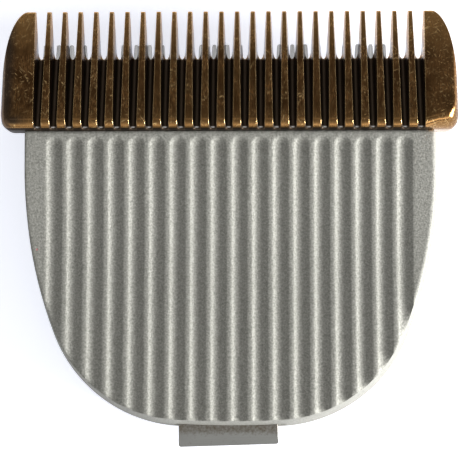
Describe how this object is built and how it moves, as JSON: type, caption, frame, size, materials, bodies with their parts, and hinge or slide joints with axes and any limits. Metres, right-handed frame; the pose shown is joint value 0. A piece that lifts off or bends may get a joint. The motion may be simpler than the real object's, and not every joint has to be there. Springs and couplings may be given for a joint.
{
  "type": "hair clipper blade",
  "caption": "Detachable hair clipper blade: bronze-coated comb blade, sliding steel cutter with drive yoke, fluted plastic housing and rear mounting hook.",
  "frame": {"origin": "middle of the part's length and width, on the plane of the housing's rim", "axes": "+X along the row of teeth, +Y towards the tooth tips, +Z out of the fluted face"},
  "size_m": [0.046, 0.0444, 0.0089],
  "materials": {
    "silver_plastic": "satin",
    "bronze_coating": "polished",
    "cutter_steel": "satin",
    "black_plastic": "satin",
    "spring_steel": "satin",
    "hook_steel": "satin",
    "screw_steel": "satin"
  },
  "bodies": {
    "housing": {"housing": "silver_plastic", "fixed_blade": "bronze_coating", "pressure_spring": "spring_steel", "mounting_hook": "hook_steel", "blade_screws": "screw_steel", "boss_screws": "screw_steel"},
    "cutter": {"moving_blade": "cutter_steel", "drive_yoke": "black_plastic"}
  },
  "joints": [
    {"name": "cutter_slide", "type": "slide", "parent": "housing", "child": "cutter", "axis": [1, 0, 0], "range_m": [-0.0013, 0.0017]}
  ]
}
